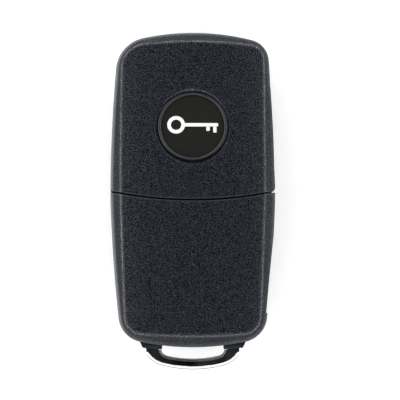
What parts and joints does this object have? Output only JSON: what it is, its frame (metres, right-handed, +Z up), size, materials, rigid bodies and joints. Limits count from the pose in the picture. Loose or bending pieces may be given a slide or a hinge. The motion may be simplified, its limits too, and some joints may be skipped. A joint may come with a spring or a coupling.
{
  "type": "car remote key",
  "caption": "Folding car remote key: curved moulded case with a round badge recess, push buttons, a flip-out blade on a drum, a coin cell cover and a metal key ring loop.",
  "frame": {"origin": "under the middle of the overall length and width, on the plane of the front face", "axes": "+X across the width towards the blade's side, +Y from the key ring loop to the head, +Z up, out of the badge side, as the key lies on its button side"},
  "size_m": [0.0366, 0.0746, 0.0156],
  "materials": {
    "shell": "fine grained, very dark blue grey",
    "board": "green solder mask",
    "switch": "matte",
    "chip": "matte",
    "ferrite": "dull",
    "lens": "clear red",
    "silicone": "matte",
    "contact": "bright",
    "loop": "polished",
    "steel": "plain",
    "badge": "satin",
    "capsule": "clear",
    "blade": "ground",
    "drum": "satin",
    "release": "satin",
    "button": "soft touch",
    "cell": "bright"
  },
  "bodies": {
    "remote": {"remote_front_shell": "shell", "circuit_board": "board", "lock_switch": "switch", "unlock_switch": "switch", "trunk_switch": "switch", "controller_chip": "chip", "crystal": "steel", "antenna_coil": "ferrite", "status_led": "lens", "led_lens": "lens", "button_mat": "silicone", "battery_contact_negative": "contact", "battery_contact_positive": "contact", "key_ring_loop": "loop", "loop_pin_left": "steel", "loop_pin_right": "steel"},
    "head": {"head_front_shell": "shell", "head_back_shell": "shell", "badge_disc": "badge", "head_screw": "steel", "transponder_capsule": "capsule", "flip_spring": "steel"},
    "blade": {"key_blade": "blade", "blade_drum": "drum", "blade_pin": "steel"},
    "release": {"release_button": "release"},
    "lock": {"lock_button": "button"},
    "unlock": {"unlock_button": "button"},
    "trunk": {"trunk_button": "button"},
    "cover": {"battery_cover": "shell", "coin_cell": "cell"}
  },
  "joints": [
    {"name": "head_release", "type": "slide", "parent": "remote", "child": "head", "axis": [0, 1, 0], "range_m": [0, 0.013]},
    {"name": "blade_hinge", "type": "hinge", "parent": "head", "child": "blade", "pos_m": [0.0095, 0.0276, 0.0077], "axis": [0, 0, 1], "range_deg": [0, 180]},
    {"name": "release_press", "type": "slide", "parent": "head", "child": "release", "axis": [0, 0, 1], "range_m": [0, 0.0015], "stiffness_N_per_m": 1300, "springref_m": -0.0003, "deforming": ["flip_spring"]},
    {"name": "lock_press", "type": "slide", "parent": "remote", "child": "lock", "axis": [0, 0, 1], "range_m": [0, 0.0005], "stiffness_N_per_m": 4000, "springref_m": -0.00005, "deforming": ["button_mat"]},
    {"name": "unlock_press", "type": "slide", "parent": "remote", "child": "unlock", "axis": [0, 0, 1], "range_m": [0, 0.0005], "stiffness_N_per_m": 4000, "springref_m": -0.00005, "deforming": ["button_mat"]},
    {"name": "trunk_press", "type": "slide", "parent": "remote", "child": "trunk", "axis": [0, 0, 1], "range_m": [0, 0.0005], "stiffness_N_per_m": 4000, "springref_m": -0.00005, "deforming": ["button_mat"]},
    {"name": "cover_lift", "type": "slide", "parent": "remote", "child": "cover", "axis": [0, 0, 1], "range_m": [0, 0.01]}
  ]
}
